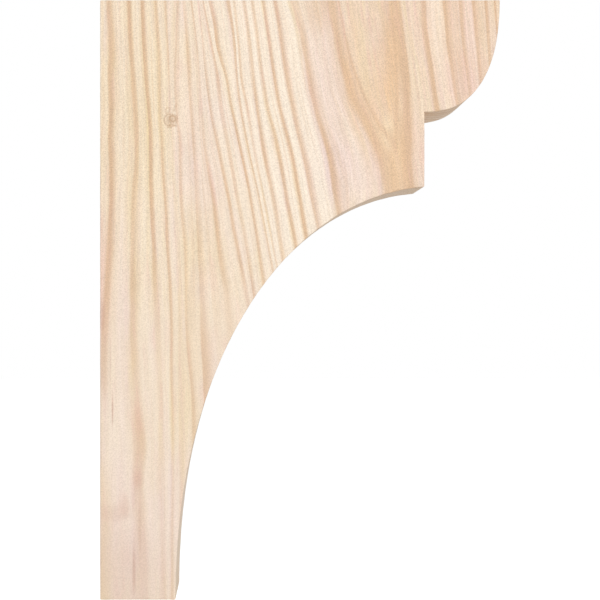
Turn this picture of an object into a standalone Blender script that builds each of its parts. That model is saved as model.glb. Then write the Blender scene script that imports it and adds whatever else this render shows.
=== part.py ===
# A wooden corbel bracket, sawn as one solid from a single planed plank.
# Metres, +Z up. The flat wall face lies in X = 0 with the origin at its centre,
# the bracket reaches out along +X, and Y runs through its thickness.
import math

import bmesh
import bpy

PROJECTION = 0.4064  # wall face to the nose of the lobe, 16 in
HEIGHT = 0.6096  # along the wall, 24 in
THICKNESS = 0.0889  # a nominal 4 in plank, planed to 3.5 in

LOBE_DEPTH = 0.0766  # upright step to the nose
LOBE_DROP = 0.1137  # top face to the lobe's underside, where it meets the step
LOBE_RISE = 0.0060  # the lobe's curve is centred this far above the top face
LOBE_POWER = 2.45  # superellipse exponent: 2 is an ellipse, more is squarer

STEP_DROP = 0.0760  # height of the upright step between lobe and hollow

FOOT_DEPTH = 0.0768  # wall face to the hollow, at the foot
HOLLOW_OVERRUN = 0.0179  # the hollow's crest would lie this far past the step
HOLLOW_POWER = 2.085

ARRIS = 0.0006  # sanded break on the sawn outline's outer edges

LOBE_SEGMENTS = 28
HOLLOW_SEGMENTS = 72

WELD_DISTANCE = 0.00001
FLAT_ANGLE = math.radians(0.5)
ROUND_ANGLE = math.radians(25)


def clear_scene():
    for item in list(bpy.data.objects):
        bpy.data.objects.remove(item, do_unlink=True)


def object_collection(name):
    collection = bpy.data.collections.new(name)
    bpy.context.scene.collection.children.link(collection)
    return collection


def wood_material():
    """Pale planed softwood, left without a finish."""
    material = bpy.data.materials.new("wood")
    material.use_nodes = True
    shader = material.node_tree.nodes["Principled BSDF"]
    shader.inputs["Base Color"].default_value = (0.79, 0.60, 0.43, 1)
    shader.inputs["Metallic"].default_value = 0
    shader.inputs["Roughness"].default_value = 0.62
    return material


def superellipse_arc(centre, radii, power, start, end, segments):
    """Points from one angle to another. A negative radius turns that axis round."""
    points = []
    for index in range(segments + 1):
        angle = start + (end - start) * index / segments
        across = max(math.cos(angle), 0) ** (2 / power)
        up = max(math.sin(angle), 0) ** (2 / power)
        points.append((centre[0] + radii[0] * across, centre[1] + radii[1] * up))
    return points


def lobe_arc():
    """The rounded nose, from the top face down and back to the step."""
    height = LOBE_DROP + LOBE_RISE
    start = math.asin((LOBE_RISE / height) ** (LOBE_POWER / 2))
    depth = LOBE_DEPTH / math.cos(start) ** (2 / LOBE_POWER)
    centre = (PROJECTION - LOBE_DEPTH, HEIGHT / 2 + LOBE_RISE)
    return superellipse_arc(
        centre, (depth, -height), LOBE_POWER, start, math.pi / 2, LOBE_SEGMENTS
    )


def hollow_arc():
    """The concave curve, from the bottom of the step down to the foot."""
    crest = PROJECTION - LOBE_DEPTH + HOLLOW_OVERRUN
    width = crest - FOOT_DEPTH
    start = math.acos((HOLLOW_OVERRUN / width) ** (HOLLOW_POWER / 2))
    rise = HEIGHT - LOBE_DROP - STEP_DROP
    height = rise / math.sin(start) ** (2 / HOLLOW_POWER)
    return superellipse_arc(
        (crest, -HEIGHT / 2), (-width, height), HOLLOW_POWER, start, 0, HOLLOW_SEGMENTS
    )


def bracket_outline():
    """The side view, clockwise from the wall face's top, as X and Z."""
    wall_top = (0, HEIGHT / 2)
    wall_foot = (0, -HEIGHT / 2)
    return [wall_top] + lobe_arc() + hollow_arc() + [wall_foot]


def outline_curve(name, outline, thickness):
    """A flat outline extruded both ways, standing upright with its middle on Y = 0."""
    shape = bpy.data.curves.new(name, "CURVE")
    shape.dimensions = "2D"
    shape.fill_mode = "BOTH"
    shape.extrude = thickness / 2
    spline = shape.splines.new("POLY")
    spline.points.add(len(outline) - 1)
    for point, (x, z) in zip(spline.points, outline):
        point.co = (x, z, 0, 1)
    spline.use_cyclic_u = True
    curve = bpy.data.objects.new(name + "_outline", shape)
    curve.rotation_euler = (math.pi / 2, 0, 0)
    bpy.context.scene.collection.objects.link(curve)
    return curve


def solid_from_curve(name, curve, collection):
    """The curve's shape as a welded mesh whose two sides are single faces."""
    bpy.context.view_layer.update()
    graph = bpy.context.evaluated_depsgraph_get()
    mesh = bpy.data.meshes.new_from_object(curve.evaluated_get(graph))
    mesh.name = name
    solid = bpy.data.objects.new(name, mesh)
    solid.matrix_world = curve.matrix_world
    collection.objects.link(solid)
    bpy.data.objects.remove(curve, do_unlink=True)

    shape = bmesh.new()
    shape.from_mesh(mesh)
    bmesh.ops.remove_doubles(shape, verts=shape.verts, dist=WELD_DISTANCE)
    bmesh.ops.dissolve_limit(
        shape, angle_limit=FLAT_ANGLE, verts=shape.verts, edges=shape.edges
    )
    bmesh.ops.recalc_face_normals(shape, faces=shape.faces)
    shape.to_mesh(mesh)
    shape.free()
    return solid


def break_arrises(solid, width):
    """Chamfers the outer edges, and leaves the sawn inner corner sharp."""
    shape = bmesh.new()
    shape.from_mesh(solid.data)
    weight = shape.edges.layers.float.new("bevel_weight_edge")
    for edge in shape.edges:
        sharp = edge.calc_face_angle(0) > ROUND_ANGLE
        edge[weight] = 1 if sharp and edge.is_convex else 0
    shape.to_mesh(solid.data)
    shape.free()
    bevel = solid.modifiers.new("arris", "BEVEL")
    bevel.limit_method = "WEIGHT"
    bevel.width = width
    bevel.segments = 1


def make_corbel(collection):
    curve = outline_curve("corbel", bracket_outline(), THICKNESS)
    corbel = solid_from_curve("corbel", curve, collection)
    corbel.data.materials.append(wood_material())
    break_arrises(corbel, ARRIS)
    corbel.data.shade_smooth()
    corbel.data.set_sharp_from_angle(angle=ROUND_ANGLE)
    return corbel


clear_scene()
make_corbel(object_collection("corbel_bracket"))
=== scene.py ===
import functools
import math

import bmesh
import bpy
import numpy as np
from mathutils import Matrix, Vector


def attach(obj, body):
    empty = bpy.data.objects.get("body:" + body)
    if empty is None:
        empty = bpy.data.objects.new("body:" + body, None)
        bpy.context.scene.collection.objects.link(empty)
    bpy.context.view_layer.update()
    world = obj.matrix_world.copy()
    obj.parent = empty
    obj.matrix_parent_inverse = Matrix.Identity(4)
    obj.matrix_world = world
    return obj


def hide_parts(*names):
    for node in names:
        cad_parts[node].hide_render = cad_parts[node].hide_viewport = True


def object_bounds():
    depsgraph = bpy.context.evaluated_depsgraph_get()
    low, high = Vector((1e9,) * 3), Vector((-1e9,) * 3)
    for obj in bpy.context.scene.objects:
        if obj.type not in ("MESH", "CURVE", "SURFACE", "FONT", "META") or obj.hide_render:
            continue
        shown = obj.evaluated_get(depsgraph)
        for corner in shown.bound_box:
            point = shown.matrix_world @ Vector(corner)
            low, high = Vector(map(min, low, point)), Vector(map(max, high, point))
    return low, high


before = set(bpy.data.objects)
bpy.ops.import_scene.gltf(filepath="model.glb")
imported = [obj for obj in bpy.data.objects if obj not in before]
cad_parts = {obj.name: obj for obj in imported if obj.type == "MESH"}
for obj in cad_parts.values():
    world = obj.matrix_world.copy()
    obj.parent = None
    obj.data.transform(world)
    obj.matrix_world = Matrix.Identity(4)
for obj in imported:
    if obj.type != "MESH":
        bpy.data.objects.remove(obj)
cadLow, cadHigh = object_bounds()
print("frame loaded")

mm = 0.001

# The bracket's surface, cut fine enough to carry the relief and the grain

# The net is close across the grain and open along it, where little changes.
bracket = {
    "node": "corbel",
    "weld": 0.01 * mm,
    "flatAngle": 0.03,  # in degrees: faces that turn less than this become one
    "cornerAngle": 30,  # a corner that turns more than this has its arris rounded
    "sharpAngle": 12,  # and one that turns more than this is shaded sharp
    "netAcross": 1.7 * mm,
    "netThrough": 2.5 * mm,
    "netAlong": 3.6 * mm,
    "sliver": 0.03 * mm,  # a cut this close to a corner goes through it
    "arrisWidth": 0.22 * mm,  # rounds each side of the sanded arris
    "arrisSteps": 2,
}


def cutIntoNet(shape, axis, pitch):
    # Parallel cuts right through the mesh, one pitch apart.
    direction = Vector([1.0 if side == axis else 0.0 for side in range(3)])
    places = [corner.co[axis] for corner in shape.verts]
    low, high = min(places), max(places)
    count = round((high - low) / pitch)
    for cut in range(1, count):
        bmesh.ops.bisect_plane(
            shape,
            geom=shape.verts[:] + shape.edges[:] + shape.faces[:],
            dist=bracket["sliver"],
            plane_co=direction * (low + (high - low) * cut / count),
            plane_no=direction,
        )


def bracketMesh():
    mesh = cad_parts[bracket["node"]].data.copy()
    mesh.name = "bracket"
    shape = bmesh.new()
    shape.from_mesh(mesh)
    bmesh.ops.remove_doubles(shape, verts=shape.verts, dist=bracket["weld"])
    flat = math.radians(bracket["flatAngle"])
    bmesh.ops.dissolve_limit(shape, angle_limit=flat, verts=shape.verts, edges=shape.edges)
    square = math.radians(bracket["cornerAngle"])
    bmesh.ops.bevel(
        shape,
        geom=[edge for edge in shape.edges if edge.calc_face_angle(0) > square],
        offset=bracket["arrisWidth"],
        segments=bracket["arrisSteps"],
        profile=0.5,
        affect="EDGES",
    )
    pitches = (bracket["netAcross"], bracket["netThrough"], bracket["netAlong"])
    for axis, pitch in enumerate(pitches):
        cutIntoNet(shape, axis, pitch)
    bmesh.ops.triangulate(shape, faces=[face for face in shape.faces if len(face.verts) > 4])
    shape.to_mesh(mesh)
    shape.free()
    mesh.materials.clear()
    mesh.shade_smooth()
    mesh.set_sharp_from_angle(angle=math.radians(bracket["sharpAngle"]))
    return mesh


# How the plank lay in the tree, in millimetres. The pith ran behind the show face, leaning
# slightly away towards the foot, so the rings close in a tongue and lean out to both sides.
log = {
    "pithDepth": 120.3,
    "pithLean": 0.0221,
    "pithFromWall": 270.0,
    "innerGap": 11.0,  # between the rings that are nearer the pith than the traced lines
    "outerGap": 20.0,  # and between those that are farther out
    "sideBlend": 12.0,  # the strip over the pith that takes after the lines on both sides
    "plainDark": (0.4, 0.9),  # how dark an untraced ring's line may be
    "plainWidth": 0.3,
    "plainPale": 0.3,
    "leastGap": 0.5,  # no two lines come closer than this
    "seed": 4,
}

# Each ring's dark latewood line on the show face. First come the share of the ring that is
# dark and how pale its earlywood is, or below zero how tan. Then comes the line as (from the
# wall, below the top, how dark). Ring 0 is the tongue, and they count outwards. Lengths are
# in millimetres.
leftLines = {
    19: (0.28, 0.1, [(-12, 0, 0.5), (-12, 610, 0.4)]),
    18: (0.22, 0.3, [(9.5, 0, 0.75), (11.5, 46, 0.85), (10.5, 76, 0.85), (11.5, 107, 0.9),
                     (10.5, 140, 0.95), (12.5, 170, 1), (11.5, 203, 1), (10.5, 240, 0.9),
                     (6.5, 295, 0.8), (3.5, 335, 0.6), (2, 406, 0.1), (1, 610, 0.1)]),
    17: (0.26, 0.4, [(29.5, 0, 1), (31.5, 46, 0.95), (33.5, 76, 0.85), (36, 107, 0.8), (37.5, 137, 0.7),
                     (37, 168, 0.65), (35, 200, 0.6), (34.5, 240, 0.45), (33.5, 290, 0.6), (35, 356, 0.4),
                     (38, 420, 0.2), (42, 455, 0.25), (38, 484, 0.2), (39.5, 508, 0.3), (43.5, 550, 0.3),
                     (46, 600, 0.1)]),
    16: (0.28, 0.4, [(43, 0, 1), (44.5, 46, 1), (46, 76, 0.95), (49.5, 107, 0.95), (51.5, 137, 0.9),
                     (51.5, 168, 1), (52.5, 203, 1), (55.5, 260, 0.75), (58.5, 320, 0.25), (61, 370, 0.05),
                     (66, 610, 0.05)]),
    15: (0.28, 0.3, [(57, 0, 0.6), (60, 50, 0.4), (62.5, 127, 0.4), (64, 165, 0.7), (66.5, 203, 0.8),
                     (69.5, 260, 0.8), (72.5, 320, 0.75), (73, 375, 0.6), (74, 430, 0.25),
                     (74, 480, 0.2), (73, 535, 0.3), (73, 600, 0.35)]),
    14: (0.20, 0.2, [(66, 0, 0.6), (69.5, 55, 0.35), (71, 90, 0.1), (75, 183, 0.05), (81, 290, 0.15),
                     (82, 406, 0.05), (84, 610, 0.05)]),
    13: (0.26, 0.2, [(80, 0, 0.5), (77, 51, 0.5), (76.5, 90, 0.4), (81, 142, 0.5), (82, 203, 0.55),
                     (86, 250, 0.4), (87, 300, 0.3), (88, 345, 0.45), (94.5, 406, 0.6), (96, 457, 0.5)]),
    12: (0.26, 0.25, [(84, 0, 0.2), (89.5, 51, 0.55), (92, 95, 0.35), (96, 145, 0.5), (98.5, 195, 0.35),
                      (100.5, 254, 0.5), (103.5, 310, 0.35), (104, 345, 0.65), (106.5, 396, 0.75)]),
    11: (0.22, 0.3, [(92.5, 0, 0.7), (99, 51, 0.5), (102.5, 102, 0.2), (106.5, 150, 0.45),
                     (114.5, 195, 0.8), (119, 228, 0.85), (123, 258, 0.6), (129, 290, 0.2),
                     (133, 320, 0.1)]),
    10: (0.24, 0.45, [(100, 0, 0.2), (105.5, 51, 0.3), (108, 80, 0.5), (112.5, 112, 0.55),
                      (123.5, 163, 0.65), (131, 200, 0.85), (138, 240, 0.7), (144, 270, 0.7),
                      (150, 300, 0.2)]),
    9: (0.26, 0.55, [(104.5, 0, 0.3), (110.5, 30, 0.4), (114.5, 50, 0.5), (119.5, 78, 0.65),
                     (122.5, 105, 0.35), (128, 137, 0.3), (133.5, 168, 0.5), (139, 200, 0.4),
                     (145, 230, 0.3), (150.5, 262, 0.4), (154.5, 290, 0.6)]),
    8: (0.32, 0.65, [(111, 0, 0.5), (116.5, 28, 0.95), (118.5, 46, 0.95), (122.5, 61, 0.65),
                     (127.5, 76, 0.6), (132.5, 102, 0.6), (137, 124, 0.9), (143.5, 155, 1),
                     (149, 180, 1), (154.5, 210, 0.8), (160, 245, 0.75), (165, 280, 0.6)]),
    7: (0.30, 0.75, [(131, 0, 0.75), (135.5, 28, 0.8), (138, 51, 0.75), (139.5, 76, 0.65),
                     (142.5, 105, 0.6), (148, 137, 0.65), (154.5, 168, 0.65), (161.5, 200, 0.5),
                     (167, 228, 0.35), (173, 258, 0.4)]),
    6: (0.30, 0.85, [(136, 0, 0.2), (141, 51, 0.4), (143, 78, 0.65), (148.5, 105, 0.5), (154, 137, 0.15),
                     (160, 168, 0.1), (178, 260, 0.1)]),
    5: (0.42, 0.9, [(146, 0, 0.3), (151, 35, 0.5), (155, 70, 0.5), (158.5, 100, 0.85), (163, 135, 0.8),
                    (167.5, 163, 0.9), (173.5, 190, 0.5), (180, 228, 0.35), (185, 262, 0.3)]),
    4: (0.30, 0.85, [(154.5, 0, 0.5), (160, 41, 0.5), (164.5, 76, 0.5), (170, 108, 0.6),
                     (177.5, 137, 0.65), (184, 167, 0.9), (190, 203, 0.7), (196.5, 235, 0.85),
                     (200, 255, 0.8)]),
    3: (0.32, 0.9, [(166, 0, 0.65), (172.5, 43, 0.75), (177, 76, 0.95), (183, 108, 0.8), (190, 137, 0.85),
                    (196, 163, 0.9), (202, 195, 0.9), (207, 228, 0.95)]),
    2: (0.28, 0.8, [(177, 0, 0.8), (182.5, 30, 0.8), (188, 68, 0.8), (195, 105, 0.75), (203, 140, 0.65),
                    (210, 171, 0.7), (215.5, 200, 0.6), (222, 230, 0.4)]),
    1: (0.24, 0.22, [(195.5, 0, 0.4), (205, 30, 0.5), (210, 61, 0.65), (215.5, 91, 0.75), (223, 122, 0.8),
                     (231.5, 152, 1), (237.5, 183, 0.9), (242, 213, 0.7)]),
    0: (0.18, -0.2, [(236.5, 0, 0.75), (241.5, 28, 0.85), (249, 66, 1), (260, 100, 0.85),
                     (272, 122, 0.85), (286.5, 150, 0.85), (296.5, 171, 0.8), (304, 196, 0.8)]),
}
rightLines = {
    0: (0.18, -0.2, [(301, 0, 0.7), (306.5, 51, 0.85), (310.5, 102, 0.95), (310, 150, 0.95),
                     (309.5, 196, 0.95)]),
    1: (0.26, -0.15, [(328, 0, 0.85), (331.5, 40, 0.9), (337, 76, 0.95), (341.5, 107, 0.95)]),
    2: (0.30, 0.35, [(350.5, 0, 0.95), (354.5, 46, 0.9), (359, 76, 0.7), (363, 102, 0.7)]),
    3: (0.30, -0.25, [(366.5, 0, 0.75), (369.5, 41, 0.75), (375, 86, 0.55)]),
    4: (0.34, 0.1, [(379, 0, 1), (383.5, 41, 0.75), (387, 81, 0.65)]),
    5: (0.34, -0.2, [(391.5, 0, 1.1), (395, 41, 0.8), (397, 81, 0.75)]),
    6: (0.30, -0.12, [(401, 0, 1.1), (404, 41, 0.8), (407, 81, 0.5)]),
    7: (0.30, -0.12, [(409, 0, 0.5), (413, 81, 0.5)]),
}
firstTurnedRing = 2  # right of the tongue, the rings from here outwards are sharp on their inner side

# The tongue's lines are paler along its middle.
tongueMiddle = 9.0  # this far off it, in millimetres, the fade is a third as strong
tongueFade = 0.45

# How plainly the fine growth lines and fibres show, by the distance below the top in
# millimetres.
grainClarity = [(0, 0.9), (120, 1.0), (280, 0.85), (340, 0.5), (610, 0.35)]

# The pin knot that a small branch left, in millimetres. It runs in to the pith, thinning on
# the way. Its rings are (across, down, half width, half height, tilt in degrees, half the
# line's width, how dark), with every length in radii of the knot.
knot = {
    "fromWall": 72.5,
    "belowTop": 122.4,
    "radius": 7.0,
    "fall": 0.1,  # how far the branch drops for each millimetre that it runs in
    "thinnest": 0.3,  # in radii, near the pith
    "bulge": 0.8,  # how far the growth rings swell out along the branch
    "bulgeReach": 2.0,  # and how far to its sides, in radii
    "wobble": 0.24,  # how far its rings are out of round, in radii
    "wobblesPerRadius": 1.3,
    "rings": [
        (0.0, 0.0, 0.1, 0.1, 0, 1.15, 0.42),  # its soft tan body
        (-0.12, -0.02, 0.88, 0.86, 0, 0.26, 0.4),
        (0.18, -0.28, 0.42, 0.41, 0, 0.36, 0.62),
        (0.3, -0.36, 0.6, 0.54, 0, 0.18, 0.38),
        (0.1, 0.7, 0.42, 0.09, 3, 0.48, 0.62),  # two short bars under it
        (-0.25, 1.02, 0.24, 0.08, 3, 0.28, 0.45),
        (-0.62, -1.36, 0.28, 0.46, 14, 0.16, 0.28),  # two buds above it
        (0.45, -1.9, 0.12, 0.4, 18, 0.15, 0.28),
    ],
}


# Where the grain runs through the wood, worked out at each point of the mesh

def smoothLine(at, knots, values):
    # A curve through given points that runs on straight past both ends.
    knots = np.array(knots, float)
    values = np.array(values, float)
    slopes = np.gradient(values, knots)
    held = np.clip(at, knots[0], knots[-1])
    before = np.clip(np.searchsorted(knots, held) - 1, 0, len(knots) - 2)
    after = before + 1
    span = knots[after] - knots[before]
    share = (held - knots[before]) / span
    inside = (
        (2 * share**3 - 3 * share**2 + 1) * values[before]
        + (share**3 - 2 * share**2 + share) * span * slopes[before]
        + (3 * share**2 - 2 * share**3) * values[after]
        + (share**3 - share**2) * span * slopes[after]
    )
    ending = np.where(at < knots[0], slopes[0], slopes[-1])
    return inside + ending * (at - held)


def pithDepth(down):
    return log["pithDepth"] + log["pithLean"] * down


def ringRadius(ring):
    # From the pith to a ring, where its line meets the top of the show face.
    fromWall = leftLines[ring][2][0][0]
    return math.hypot(log["pithDepth"], log["pithFromWall"] - fromWall)


def ringScale():
    # Every ring's number and its radius, from near the pith out to the last traced line.
    inner = np.arange(-int(ringRadius(0) / log["innerGap"]), 0)
    outer = sorted(leftLines)
    innerRadii = ringRadius(0) + inner * log["innerGap"]
    outerRadii = [ringRadius(ring) for ring in outer]
    return np.concatenate([inner, outer]), np.concatenate([innerRadii, outerRadii])


def traceGuides(down):
    # The lines in order from the wall, with their places and darkness at each height.
    guides = []
    for side, lines in ((-1, leftLines), (1, rightLines)):
        for ring in sorted(lines, reverse=side < 0):
            width, pale, line = lines[ring]
            fromWall, below, dark = zip(*line)
            guides.append({
                "ring": ring,
                "side": side,
                "place": smoothLine(down, below, fromWall),
                "across": side * np.sqrt(np.maximum(ringRadius(ring)**2 - pithDepth(down)**2, 1)),
                "dark": np.interp(down, below, dark),
                "width": width,
                "pale": pale,
            })
    return guides


def acrossPith(guides, fromWall):
    # Distance across from the pith, bent so that each line lands on its own ring.
    across = guides[0]["across"] + (fromWall - guides[0]["place"])
    for before, after in zip(guides, guides[1:]):
        gap = np.maximum(after["place"] - before["place"], log["leastGap"])
        share = (fromWall - before["place"]) / gap
        between = before["across"] + (after["across"] - before["across"]) * share
        across = np.where(fromWall >= before["place"], between, across)
    return across


def knotField(fromWall, towardsPith, down):
    # Distances from the knot's axis, in knot radii, and how far its branch swells the rings.
    across = fromWall - log["pithFromWall"]
    knotAcross = knot["fromWall"] - log["pithFromWall"]
    knotPith = pithDepth(knot["belowTop"])
    reach = math.hypot(knotAcross, knotPith)
    radius = np.hypot(across, towardsPith)
    turn = np.arctan2(across, towardsPith) - math.atan2(knotAcross, knotPith)
    thickness = knot["radius"] * np.maximum(radius / reach, knot["thinnest"])
    slant = knotPith / reach  # the branch is oval, and its slanted cut on the show face round
    sideways = turn * radius / (thickness * slant)
    lengthways = (down - knot["belowTop"] - knot["fall"] * (reach - radius)) / thickness
    swell = knot["bulge"] * np.exp(-(sideways**2 + lengthways**2) / knot["bulgeReach"]**2)
    return np.stack([sideways, lengthways, np.zeros(len(down))], 1), swell


def lineTraits(guides, rings, ring, across):
    # How dark and wide the nearest line is and how pale the wood, blended from ring to ring.
    dice = np.random.default_rng(log["seed"])
    traits = {name: np.zeros(len(ring)) for name in ("dark", "width", "pale")}
    onLeft = np.clip(0.5 - across / log["sideBlend"], 0, 1)
    for number in rings:
        plain = {
            "dark": dice.uniform(*log["plainDark"]),
            "width": log["plainWidth"],
            "pale": log["plainPale"],
        }
        sides = {-1: plain, 1: plain}
        for guide in guides:
            if guide["ring"] == number:
                sides[guide["side"]] = guide
        nearLine = np.clip(1 - np.abs(ring - number), 0, 1)
        # a ring's earlywood lies just inside its own line
        within = np.clip(1.5 - 2 * np.abs(ring - number + 0.5), 0, 1)
        for name, near in (("dark", nearLine), ("width", nearLine), ("pale", within)):
            left, right = sides[-1][name], sides[1][name]
            traits[name] += near * (right + (left - right) * onLeft)
    return traits


def grainField(points):
    fromWall = points[:, 0] / mm
    down = (cadHigh.z - points[:, 2]) / mm
    depth = (points[:, 1] - cadLow.y) / mm
    guides = traceGuides(down)
    across = acrossPith(guides, fromWall)
    towardsPith = pithDepth(down) - depth
    radius = np.hypot(across, towardsPith)
    angle = np.arctan2(across, towardsPith)
    knotPlace, swell = knotField(fromWall, towardsPith, down)

    rings, radii = ringScale()
    ring = np.interp(radius - swell, radii, rings)
    ring += np.maximum(radius - radii[-1], 0) / log["outerGap"]
    traits = lineTraits(guides, rings, ring, across)
    middle = np.exp(-(across / tongueMiddle)**2) * (np.abs(ring) < 1)
    dark = traits["dark"] * (1 - tongueFade * middle)
    turned = np.where((ring > firstTurnedRing - 0.5) & (across > 0), -1.0, 1.0)
    clarity = np.interp(down, *zip(*grainClarity))
    width = traits["width"] * (2 - clarity)
    return {
        "rings": np.stack([ring, dark, -width], 1),
        "fibre": np.stack([radius, angle * log["pithDepth"], down], 1),
        "strand": np.stack([across, towardsPith, down], 1),
        "tone": np.stack([traits["pale"], clarity, turned], 1),
        "knot": knotPlace,
    }


def storeVectors(mesh, name, values):
    layer = mesh.attributes.new(name, "FLOAT_VECTOR", "POINT")
    layer.data.foreach_set("vector", np.ascontiguousarray(values, np.float32).ravel())


def meshPoints(mesh):
    points = np.empty(len(mesh.vertices) * 3, np.float32)
    mesh.vertices.foreach_get("co", points)
    return points.reshape(-1, 3).astype(float)


# Nodes and colours

def linear(hexColour):
    # An sRGB hex colour as the linear values that a shader takes.
    values = [int(hexColour[start:start + 2], 16) / 255 for start in (1, 3, 5)]
    return [v / 12.92 if v <= 0.04045 else ((v + 0.055) / 1.055) ** 2.4 for v in values] + [1.0]


def addNode(tree, kind, inputs=(), out=0, **settings):
    # Adds a node, sets it and hands back one output, or all of them where out is None. A
    # socket given as an input is linked, and any other value is set.
    node = tree.nodes.new(kind)
    for name, value in settings.items():
        setattr(node, name, value)
    for name, value in inputs.items() if isinstance(inputs, dict) else enumerate(inputs):
        if isinstance(value, bpy.types.NodeSocket):
            tree.links.new(value, node.inputs[name])
        else:
            node.inputs[name].default_value = value
    return node.outputs if out is None else node.outputs[out]


def newMaterial(name):
    material = bpy.data.materials.new(name)
    material.use_nodes = True
    material.node_tree.nodes.clear()
    return material, functools.partial(addNode, material.node_tree)


# Bare planed pine, sawn and sanded. It gives the eye soft dull cream earlywood with warm tan
# latewood lines, drifts of gold and rose along the plank, a sanded speckle and no gloss.
# Lengths are in millimetres. Places across a line are in rings: zero is on the line, and plus
# is on its sharp side.
pine = {
    "earlywood": "#f5dfc6",
    "paleEarlywood": "#fff0dc",
    "latewood": "#deb995",
    "roseLatewood": "#ddb29f",
    "gold": "#f2daab",
    "rose": "#f0c6b6",
    "amber": "#efc594",
    "honey": "#f8dfba",
    "lilac": "#f0d6d0",
    "brown": "#c9a08a",
    "knotBrown": "#b98c5e",
    "endGrain": "#dfb98c",
    "endGrainCover": 0.2,  # cut across, the fibres soak up light
    "endGrainFacing": (0.5, 1.0),  # how squarely such a face looks up or down
    "roughness": 0.62,  # sanded bare wood
    "ior": 1.5,
    "lineCover": 0.8,
    "lineCore": 0.02,  # a latewood line is at its darkest from here
    "lineEnd": (0.06, 0.17),  # and fades out between these
    "approach": (-0.45, -0.05),  # the earlywood darkens slightly between these
    "approachCover": 0.12,
    "waver": 0.09,  # how far the lines waver, in rings
    "waverAcross": 11.1,  # and how far apart their bends are
    "waverAlong": 50.0,
    "falseRing": -0.125,  # where it lies
    "falseWidth": 0.035,  # half its width
    "falseWaver": 0.3,  # its share of the lines' waver
    "falseCover": 0.55,
    "paleFrom": 0.05,  # the earlywood is palest well away from here
    "paleRise": (0.08, 0.3),
    "growthPerRing": 6.5,
    "growthAround": 33.4,
    "growthAlong": 171.0,
    "darkGrowth": (0.45, 0.72),  # a growth line rises between these heights of its noise
    "darkGrowthCover": 0.3,
    "paleGrowth": (0.5, 0.3),
    "paleGrowthCover": 0.3,
    "fibreAcross": 1.818,
    "fibreAlong": 50.0,
    "fibreShade": 0.06,
    "speckleSize": 1.1765,
    "speckleShade": 0.115,
    "plainSpeckle": 0.55,  # the share of it that shows where the grain is faint too
    "streakRise": 0.28,
    "streakCover": 0.45,
    "bumpStrength": 0.3,
    "bumpDepth": 0.15,
    "lineBump": 0.4,
}

# Slow streaks of colour along the plank, 3 to 9 mm apart and some twelve times as long:
# (across, along, place in the noise, how high the noise is where one starts to show).
streaks = {
    "gold": (9.09, 111.0, 16.8, 0.42),
    "lilac": (6.25, 71.4, 18.0, 0.45),
    "rose": (3.333, 45.5, 20.0, 0.5),
}

noiseRange = (0.3, 0.7)  # nearly all of a soft noise lies between these
smooth = {"interpolation_type": "SMOOTHSTEP"}

# Soft drifts of colour on the show face: (from the wall, below the top, half width, half
# height, strength), in millimetres. At its half width a drift is about half as strong.
driftReach = 1.6  # in half widths
driftCore = 0.8  # full strength from here inwards, where the rim is 0 and the middle 1
driftDepth = 20.0  # how deep it goes into the wood, in millimetres
driftRagged = (0.6, 1.15)  # the fibres weaken and strengthen it between these
drifts = {
    "gold": [
        (30, 110, 32, 150, 0.5),
        (92, 270, 14, 50, 0.3),
        (86, 380, 22, 90, 0.25),
        (56, 110, 14, 120, 0.4),
    ],
    "rose": [
        (3, 290, 9, 60, 0.65),
        (365, 80, 30, 26, 0.5),
        (295, 40, 11, 60, 0.3),
        (39, 485, 5, 9, 0.5),
        (24, 513, 5, 12, 0.5),
        (355, 20, 40, 40, 0.3),
        (320, 155, 8, 36, 0.35),
    ],
    "lilac": [
        (23, 330, 7, 110, 0.5),
        (10, 445, 16, 40, 0.2),
        (228, 100, 26, 100, 0.6),
        (48, 540, 50, 80, 0.55),
        (248, 178, 34, 36, 0.65),
        (105, 150, 20, 90, 0.35),
        (376, 30, 6, 50, 0.4),
        (372, 84, 12, 14, 0.5),
    ],
    "amber": [
        (284, 112, 18, 56, 0.35),
        (302, 168, 8, 40, 0.5),
        (298, 60, 7, 60, 0.4),
        (256, 70, 8, 50, 0.3),
    ],
    "paleEarlywood": [
        (8, 440, 14, 40, 0.3),
        (20, 120, 4, 110, 0.25),
        (30, 480, 6, 60, 0.15),
    ],
    "honey": [
        (293, 134, 7, 16, 0.6),
    ],
    "latewood": [
        (222, 5, 12, 26, 0.5),
        (296, 40, 9, 60, 0.5),
        (281, 105, 15, 34, 0.1),
        (40, 448, 7, 36, 0.4),
    ],
    "brown": [
        (4, 375, 4.5, 26, 0.25),
        (2, 322, 3, 16, 0.45),
        (39, 488, 5, 10, 0.25),
        (26, 514, 3.5, 11, 0.2),
        (40.5, 530, 1.5, 34, 0.25),
        (14, 521, 16, 8, 0.2),
        (10.5, 372, 0.7, 24, 0.3),
        (12.7, 417, 0.8, 15, 0.65),
        (34.5, 580, 1.6, 24, 0.4),
        (22, 590, 44, 48, 0.2),
        (375, 50, 46, 90, 0.06),
    ],
}


def driftCover(add, place, spots, ragged):
    # How strongly one tint's soft drifts cover each point.
    cover = 0.0
    for fromWall, below, halfWidth, halfHeight, strength in spots:
        reach = (driftReach * halfWidth * mm, driftDepth * mm, driftReach * halfHeight * mm)
        local = add("ShaderNodeMapping", {
            "Vector": place,
            "Location": (fromWall * mm, cadLow.y, cadHigh.z - below * mm),
            "Scale": reach,
        }, vector_type="TEXTURE")
        spot = add("ShaderNodeTexGradient", [local], "Fac", gradient_type="SPHERICAL")
        soft = add("ShaderNodeMapRange", [spot, 0.0, driftCore], **smooth)
        cover = add("ShaderNodeMath", [soft, strength, cover], operation="MULTIPLY_ADD")
    return add("ShaderNodeMath", [cover, ragged], operation="MULTIPLY")


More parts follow.
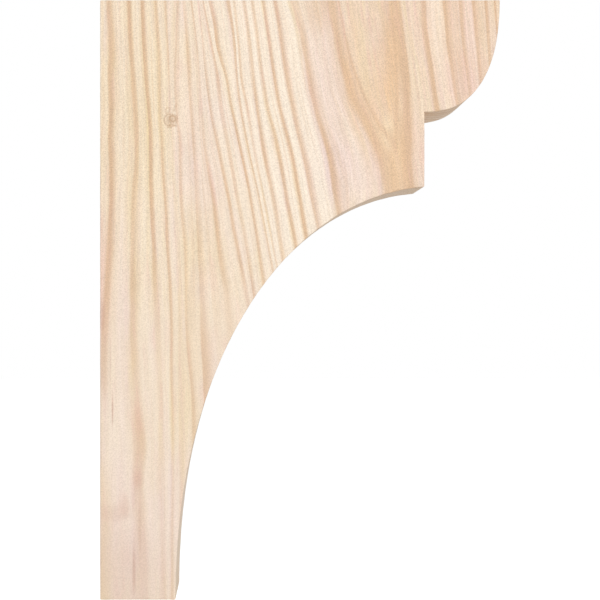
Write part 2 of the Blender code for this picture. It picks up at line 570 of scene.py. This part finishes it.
def knotRings(add):
    # The pin knot's body and thin rings, the bars under it and the buds above it.
    place = add("ShaderNodeAttribute", out="Vector", attribute_name="knot")
    wobble = add("ShaderNodeTexNoise", {
        "Vector": place, "Scale": knot["wobblesPerRadius"], "Detail": 2.0,
    }, "Color")
    reach = (knot["wobble"], knot["wobble"], 0.0)
    uneven = add("ShaderNodeVectorMath", [wobble, reach, place], operation="MULTIPLY_ADD")
    middle = knot["wobble"] / 2  # the noise is one half on average, so it moves every ring by this
    rings = 0.0
    for across, down, halfWidth, halfHeight, tilt, line, dark in knot["rings"]:
        local = add("ShaderNodeMapping", {
            "Vector": uneven,
            "Location": (across + middle, down + middle, 0.0),
            "Rotation": (0.0, 0.0, math.radians(tilt)),
            "Scale": (halfWidth, halfHeight, 1.0),
        }, vector_type="TEXTURE")
        away = add("ShaderNodeVectorMath", [local], "Value", operation="LENGTH")
        offRing = add("ShaderNodeMath", [away, 1.0], operation="SUBTRACT")
        offRing = add("ShaderNodeMath", [offRing], operation="ABSOLUTE")
        shown = add("ShaderNodeMapRange", [offRing, line / halfWidth, 0.0, 0.0, dark], **smooth)
        rings = add("ShaderNodeMath", [rings, shown], operation="MAXIMUM")
    return rings


def storedGrain(add):
    # What the mesh says of the grain at each point.
    grain = {}
    for name in ("rings", "tone", "fibre", "strand"):
        grain[name] = add("ShaderNodeAttribute", out="Vector", attribute_name=name)
    grain["ring"], grain["dark"], grain["start"] = add("ShaderNodeSeparateXYZ", [grain["rings"]], None)
    grain["pale"], grain["clarity"], grain["turned"] = add("ShaderNodeSeparateXYZ", [grain["tone"]], None)
    return grain


def addWaver(add, grain):
    # The lines waver a little along the plank.
    scale = (1 / pine["waverAcross"], 1 / pine["waverAcross"], 1 / pine["waverAlong"])
    lengthways = add("ShaderNodeMapping", {"Vector": grain["fibre"], "Scale": scale})
    noise = add("ShaderNodeTexNoise", {"Vector": lengthways, "Scale": 1.0, "Detail": 3.0})
    grain["waver"] = add("ShaderNodeMapRange", [noise, 0.0, 1.0, -pine["waver"], pine["waver"]])
    grain["wavyRing"] = add("ShaderNodeMath", [grain["ring"], grain["waver"]], operation="ADD")


def addLines(add, grain):
    # Signed distance from the nearest latewood line, in rings, where plus is its sharp side.
    offLine = add("ShaderNodeMath", [grain["wavyRing"], 0.5, -0.5], operation="WRAP")
    facing = add("ShaderNodeMath", [grain["turned"]], operation="SIGN")
    offLine = add("ShaderNodeMath", [offLine, facing], operation="MULTIPLY")

    # the latewood darkens slowly towards the line and ends sharply on its other side
    rise = [offLine, grain["start"], pine["lineCore"], 0.0, pine["lineCover"]]
    rising = add("ShaderNodeMapRange", rise, **smooth)
    ending = add("ShaderNodeMapRange", [offLine, *pine["lineEnd"], 1.0, 0.0], **smooth)
    near = [offLine, *pine["approach"], 0.0, pine["approachCover"]]
    approach = add("ShaderNodeMapRange", near, **smooth)
    line = add("ShaderNodeMath", [rising, approach], operation="ADD")
    line = add("ShaderNodeMath", [line, ending], operation="MULTIPLY")
    grain["line"] = add("ShaderNodeMath", [line, grain["dark"]], operation="MULTIPLY")

    # the earlywood is palest well away from the lines
    clear = add("ShaderNodeMath", [offLine, pine["paleFrom"]], operation="SUBTRACT")
    clear = add("ShaderNodeMath", [clear], operation="ABSOLUTE")
    clear = add("ShaderNodeMapRange", [clear, *pine["paleRise"], 0.0, 1.0], **smooth)
    grain["paleCover"] = add("ShaderNodeMath", [clear, grain["pale"]], operation="MULTIPLY")
    grain["tanCover"] = add("ShaderNodeMath", [grain["pale"], -1.0], operation="MULTIPLY")


def addFalseRing(add, grain):
    # A faint false ring runs just inside the tongue's line and draws a thin V in it.
    wavy = [grain["waver"], pine["falseWaver"], grain["ring"]]
    offFalse = add("ShaderNodeMath", wavy, operation="MULTIPLY_ADD")
    offFalse = add("ShaderNodeMath", [offFalse, pine["falseRing"]], operation="SUBTRACT")
    offFalse = add("ShaderNodeMath", [offFalse], operation="ABSOLUTE")
    shown = [offFalse, pine["falseWidth"], 0.0, 0.0, pine["falseCover"]]
    grain["falseRing"] = add("ShaderNodeMapRange", shown, **smooth)


def addGrowth(add, grain):
    # Six or seven finer growth lines to a ring, dark and pale, wavering slowly along the plank.
    around = 1 / (pine["growthPerRing"] * pine["growthAround"])
    along = 1 / (pine["growthPerRing"] * pine["growthAlong"])
    lane = add("ShaderNodeCombineXYZ", [grain["wavyRing"]])
    drawn = [grain["fibre"], (0.0, around, along), lane]
    lane = add("ShaderNodeVectorMath", drawn, operation="MULTIPLY_ADD")
    growth = add("ShaderNodeTexNoise", {
        "Vector": lane, "Scale": pine["growthPerRing"], "Detail": 3.0, "Roughness": 0.6,
    })
    dark = add("ShaderNodeMapRange", [growth, *pine["darkGrowth"], 0.0, pine["darkGrowthCover"]], **smooth)
    pale = add("ShaderNodeMapRange", [growth, *pine["paleGrowth"], 0.0, pine["paleGrowthCover"]], **smooth)
    grain["darkGrowth"] = add("ShaderNodeMath", [dark, grain["clarity"]], operation="MULTIPLY")
    grain["paleGrowth"] = add("ShaderNodeMath", [pale, grain["clarity"]], operation="MULTIPLY")


def addFineMarks(add, grain, place):
    # fibres about 1.8 mm apart, coarser than the real 0.03 mm, so that they show
    scale = (1 / pine["fibreAcross"], 1 / pine["fibreAcross"], 1 / pine["fibreAlong"])
    strands = add("ShaderNodeMapping", {"Vector": grain["strand"], "Scale": scale})
    grain["fibres"] = add("ShaderNodeTexNoise", {
        "Vector": strands, "Scale": 1.0, "Detail": 3.0, "Roughness": 0.6,
    })
    # sanding speckle about 1.2 mm across, coarser than the real grit marks of under 0.2 mm,
    # so that it shows
    grain["speckle"] = add("ShaderNodeTexNoise", {
        "Vector": place, "Scale": 1 / (pine["speckleSize"] * mm), "Detail": 2.0, "Roughness": 0.7,
    })


def streakCover(add, grain, tint):
    # How strongly one tint's slow streaks cover each point.
    across, along, start, low = streaks[tint]
    stretched = add("ShaderNodeMapping", {
        "Vector": grain["fibre"],
        "Location": (start, 0.0, 0.0),
        "Scale": (1 / across, 1 / across, 1 / along),
    })
    noise = add("ShaderNodeTexNoise", {"Vector": stretched, "Scale": 1.0, "Detail": 2.0})
    shown = [noise, low, low + pine["streakRise"], 0.0, pine["streakCover"]]
    return add("ShaderNodeMapRange", shown, **smooth)


def pineColour(add, grain, place):
    # One colour for the latewood, and then the tints in layers from the ground up.
    streak = {tint: streakCover(add, grain, tint) for tint in streaks}
    ragged = add("ShaderNodeMapRange", [grain["fibres"], *noiseRange, *driftRagged])
    drift = {tint: driftCover(add, place, spots, ragged) for tint, spots in drifts.items()}
    normal = add("ShaderNodeTexCoord", out="Normal")
    upright = add("ShaderNodeSeparateXYZ", [normal], "Z")
    upright = add("ShaderNodeMath", [upright], operation="ABSOLUTE")
    cutAcross = [upright, *pine["endGrainFacing"], 0.0, pine["endGrainCover"]]
    endGrain = add("ShaderNodeMapRange", cutAcross, **smooth)
    tints = {name: linear(value) for name, value in pine.items() if isinstance(value, str)}
    lateMix = {0: streak["rose"], 6: tints["latewood"], 7: tints["roseLatewood"]}
    late = add("ShaderNodeMix", lateMix, 2, data_type="RGBA")
    layers = [
        (streak["gold"], tints["gold"]),
        (streak["lilac"], tints["lilac"]),
        (streak["rose"], tints["rose"]),
        (drift["gold"], tints["gold"]),
        (drift["lilac"], tints["lilac"]),
        (drift["rose"], tints["rose"]),
        (grain["paleCover"], tints["paleEarlywood"]),
        (drift["paleEarlywood"], tints["paleEarlywood"]),
        (grain["paleGrowth"], tints["paleEarlywood"]),
        (grain["tanCover"], late),
        (drift["latewood"], late),
        (grain["darkGrowth"], late),
        (grain["line"], late),
        (drift["amber"], tints["amber"]),
        (drift["honey"], tints["honey"]),
        (grain["falseRing"], late),
        (drift["brown"], tints["brown"]),
        (knotRings(add), tints["knotBrown"]),
        (endGrain, tints["endGrain"]),
    ]
    colour = tints["earlywood"]
    for amount, tint in layers:
        colour = add("ShaderNodeMix", {0: amount, 6: colour, 7: tint}, 2, data_type="RGBA")
    return colour


def shaded(add, grain, colour):
    # The speckle and the fibres lighten and darken the colour.
    speckle = [grain["speckle"], *noiseRange, -pine["speckleShade"], pine["speckleShade"]]
    speckle = add("ShaderNodeMapRange", speckle)
    fibres = [grain["fibres"], *noiseRange, -pine["fibreShade"], pine["fibreShade"]]
    fibres = add("ShaderNodeMapRange", fibres)
    shade = add("ShaderNodeMath", [speckle, fibres], operation="ADD")
    shade = add("ShaderNodeMath", [shade, grain["clarity"], 1.0], operation="MULTIPLY_ADD")
    shade = add("ShaderNodeMath", [speckle, pine["plainSpeckle"], shade], operation="MULTIPLY_ADD")
    return add("ShaderNodeVectorMath", {0: colour, "Scale": shade}, operation="SCALE")


def pineMaterial():
    material, add = newMaterial("sandedPine")
    place = add("ShaderNodeTexCoord", out="Object")
    grain = storedGrain(add)
    addWaver(add, grain)
    addLines(add, grain)
    addFalseRing(add, grain)
    addGrowth(add, grain)
    addFineMarks(add, grain, place)
    colour = shaded(add, grain, pineColour(add, grain, place))

    height = add("ShaderNodeMath", [grain["fibres"], grain["speckle"]], operation="ADD")
    height = add("ShaderNodeMath", [grain["line"], pine["lineBump"], height], operation="MULTIPLY_ADD")
    bump = add("ShaderNodeBump", {
        "Height": height, "Strength": pine["bumpStrength"], "Distance": pine["bumpDepth"] * mm,
    })
    shader = add("ShaderNodeBsdfPrincipled", {
        "Base Color": colour, "Roughness": pine["roughness"], "IOR": pine["ior"], "Normal": bump,
    })
    add("ShaderNodeOutputMaterial", [shader], None)
    return material


# Relief left by the tools: one node tree that sinks the surface by fractions of a millimetre

# What the tools left on the wood: how far apart the marks are and how deep they go.
relief = {
    "sawPitch": 9.0 * mm,  # slow waver that the bandsaw leaves along its cut
    "sawDepth": 0.16 * mm,
    "planerPitch": 14.0 * mm,  # faint waves that the planer leaves across the wide faces
    "planerDepth": 0.05 * mm,
    "wearPitch": 14.0 * mm,  # handling dents along the arrises
    "wearDepth": 0.12 * mm,
    "grainHeight": 0.06 * mm,  # how far the hard latewood stands up after sanding
    "seed": 4.0,
}

# Where the marks lie: how squarely a wide face looks sideways, how sharply an arris turns in
# radians, and how far from a latewood line the wood is at its softest, in rings.
wideFace = (0.9, 0.99)
arrisTurn = (0.05, 0.3)
softest = 0.35


def reliefTree(material):
    tree = bpy.data.node_groups.new("sawnSurface", "GeometryNodeTree")
    tree.interface.new_socket("Geometry", in_out="INPUT", socket_type="NodeSocketGeometry")
    sockets = {}
    for name in relief:
        sockets[name] = tree.interface.new_socket(name, in_out="INPUT", socket_type="NodeSocketFloat")
    tree.interface.new_socket("Geometry", in_out="OUTPUT", socket_type="NodeSocketGeometry")
    add = functools.partial(addNode, tree)
    given = add("NodeGroupInput", out=None)

    # the wide faces are planed, and all the others sawn
    place = add("GeometryNodeInputPosition")
    normal = add("GeometryNodeInputNormal")
    sideways = add("ShaderNodeSeparateXYZ", [normal], 1)
    sideways = add("ShaderNodeMath", [sideways], operation="ABSOLUTE")
    planed = add("ShaderNodeMapRange", [sideways, *wideFace], **smooth)
    sawn = add("ShaderNodeMapRange", [sideways, *wideFace, 1.0, 0.0], **smooth)
    angle = add("GeometryNodeInputMeshEdgeAngle")
    arris = add("ShaderNodeMapRange", [angle, *arrisTurn], **smooth)

    # each mark is soft noise one pitch apart, drawn out along the axes that it keeps level
    sunk = 0.0
    for mark, kept, where in (
        ("saw", (1.0, 0.0, 1.0), sawn),
        ("planer", (0.15, 0.0, 1.0), planed),
        ("wear", (1.0, 1.0, 1.0), arris),
    ):
        level = add("ShaderNodeVectorMath", [place, kept], operation="MULTIPLY")
        perMetre = add("ShaderNodeMath", [1.0, given[mark + "Pitch"]], operation="DIVIDE")
        noise = add("ShaderNodeTexNoise", {
            "Vector": level, "W": given["seed"], "Scale": perMetre, "Detail": 1.0,
        }, noise_dimensions="4D")
        depth = add("ShaderNodeMath", [given[mark + "Depth"], where], operation="MULTIPLY")
        dip = add("ShaderNodeMapRange", [noise, *noiseRange, 0.0, depth], **smooth)
        sunk = add("ShaderNodeMath", [sunk, dip], operation="ADD")

    # sanding sinks the soft earlywood below the latewood lines
    rings = add("GeometryNodeInputNamedAttribute", {"Name": "rings"}, data_type="FLOAT_VECTOR")
    ring = add("ShaderNodeSeparateXYZ", [rings])
    offLine = add("ShaderNodeMath", [ring, 0.5, -0.5], operation="WRAP")
    offLine = add("ShaderNodeMath", [offLine], operation="ABSOLUTE")
    softDepth = add("ShaderNodeMath", [given["grainHeight"], planed], operation="MULTIPLY")
    soft = add("ShaderNodeMapRange", [offLine, 0.0, softest, 0.0, softDepth], **smooth)
    sunk = add("ShaderNodeMath", [sunk, soft], operation="ADD")

    inwards = add("ShaderNodeMath", [sunk, -1.0], operation="MULTIPLY")
    offset = add("ShaderNodeVectorMath", {0: normal, "Scale": inwards}, operation="SCALE")
    moved = add("GeometryNodeSetPosition", {"Geometry": given["Geometry"], "Offset": offset})
    solid = add("GeometryNodeRealizeInstances", {"Geometry": moved})
    dressed = add("GeometryNodeSetMaterial", {"Geometry": solid, "Material": material})
    add("NodeGroupOutput", {"Geometry": dressed}, None)
    return tree, sockets


def applyRelief(piece, material):
    tree, sockets = reliefTree(material)
    marks = piece.modifiers.new("sawnSurface", "NODES")
    marks.node_group = tree
    for name, socket in sockets.items():
        marks[socket.identifier] = relief[name]
    bpy.context.view_layer.update()
    graph = bpy.context.evaluated_depsgraph_get()
    finished = bpy.data.meshes.new_from_object(piece.evaluated_get(graph))
    piece.modifiers.remove(marks)
    piece.data = finished
    finished.name = "bracket"


# The bracket

mesh = bracketMesh()
print("bracket net:", len(mesh.vertices), "points,", len(mesh.polygons), "faces")
for name, values in grainField(meshPoints(mesh)).items():
    storeVectors(mesh, name, values)
print("grain laid in")
corbel = bpy.data.objects.new("bracket", mesh)
bpy.context.scene.collection.objects.link(corbel)
applyRelief(corbel, pineMaterial())
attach(corbel, "root")
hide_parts(bracket["node"])
print("bracket dressed")


# Studio: a white surround and floor, one large soft light in front and a weaker one behind.
# The bracket hangs on a wall, so the floor lies well below it. Lengths are in metres.
studio = {
    "ambient": 0.60,  # what the white surround gives from all sides
    "front": {"at": (1.1, -2.8, 0.6), "size": 2.2, "power": 40.5},
    "behind": {"at": (-0.8, 2.7, 1.2), "size": 2.2, "power": 30.0},
    "aim": (0.2, 0.0, 0.0),
    "floorDrop": 0.6,
    "floorSize": 30.0,
    "floorColour": "#e6e6e6",
    "floorRoughness": 0.9,
    "floorGlow": 0.55,
    "white": "#ffffff",
}


def makeFloor():
    floorMesh = bpy.data.meshes.new("floor")
    half = studio["floorSize"] / 2
    level = cadLow.z - studio["floorDrop"]
    floorMesh.from_pydata(
        [(-half, -half, level), (half, -half, level), (half, half, level), (-half, half, level)],
        [], [(0, 1, 2, 3)],
    )
    floor = bpy.data.objects.new("floor", floorMesh)
    bpy.context.scene.collection.objects.link(floor)
    material, add = newMaterial("whiteFloor")
    shader = add("ShaderNodeBsdfPrincipled", {
        "Base Color": linear(studio["floorColour"]), "Roughness": studio["floorRoughness"],
        "Emission Color": linear(studio["white"]), "Emission Strength": studio["floorGlow"],
    })
    add("ShaderNodeOutputMaterial", [shader], None)
    floorMesh.materials.append(material)
    floor.visible_diffuse = False
    floor.visible_glossy = False


def makeSurround():
    world = bpy.data.worlds.new("whiteSurround")
    bpy.context.scene.world = world
    world.use_nodes = True
    world.node_tree.nodes.clear()
    add = functools.partial(addNode, world.node_tree)
    white = linear(studio["white"])
    seen = add("ShaderNodeLightPath", out="Is Camera Ray")
    glow = add("ShaderNodeBackground", [white, studio["ambient"]])
    backdrop = add("ShaderNodeBackground", [white, 1.0])
    surround = add("ShaderNodeMixShader", [seen, glow, backdrop])
    add("ShaderNodeOutputWorld", [surround], None)


def makeLight(name):
    light = bpy.data.lights.new(name, "AREA")
    light.shape = "SQUARE"
    light.size = studio[name]["size"]
    light.energy = studio[name]["power"]
    lamp = bpy.data.objects.new(name, light)
    lamp.location = studio[name]["at"]
    aim = Vector(studio["aim"]) - lamp.location
    lamp.rotation_euler = aim.to_track_quat("-Z", "Y").to_euler()
    lamp.visible_camera = False
    bpy.context.scene.collection.objects.link(lamp)


makeFloor()
makeSurround()
makeLight("front")
makeLight("behind")
print("studio ready")


# Camera: square on to the show face. Shift alone brings the bracket to its place in the frame.

view = {
    "eyeFromWall": 0.1437,
    "eyeHeight": -0.0054,
    "distance": 1.368,  # to the show face
    "frameWidth": 0.6096,  # what the frame spans at the show face
    "sensor": 36.0,
    "farthest": 100.0,
}


def makeCamera():
    data = bpy.data.cameras.new("camera")
    data.sensor_width = view["sensor"]
    data.lens = view["sensor"] * view["distance"] / view["frameWidth"]
    frameCentre = (cadLow.x + cadHigh.x) / 2
    data.shift_x = (frameCentre - view["eyeFromWall"]) / view["frameWidth"]
    data.shift_y = ((cadLow.z + cadHigh.z) / 2 - view["eyeHeight"]) / view["frameWidth"]
    data.clip_end = view["farthest"]
    camera = bpy.data.objects.new("camera", data)
    camera.location = (view["eyeFromWall"], cadLow.y - view["distance"], view["eyeHeight"])
    camera.rotation_euler = (math.radians(90), 0, 0)
    bpy.context.scene.collection.objects.link(camera)
    bpy.context.scene.camera = camera
    bpy.context.scene.view_settings.view_transform = "Standard"


makeCamera()
print("camera set")
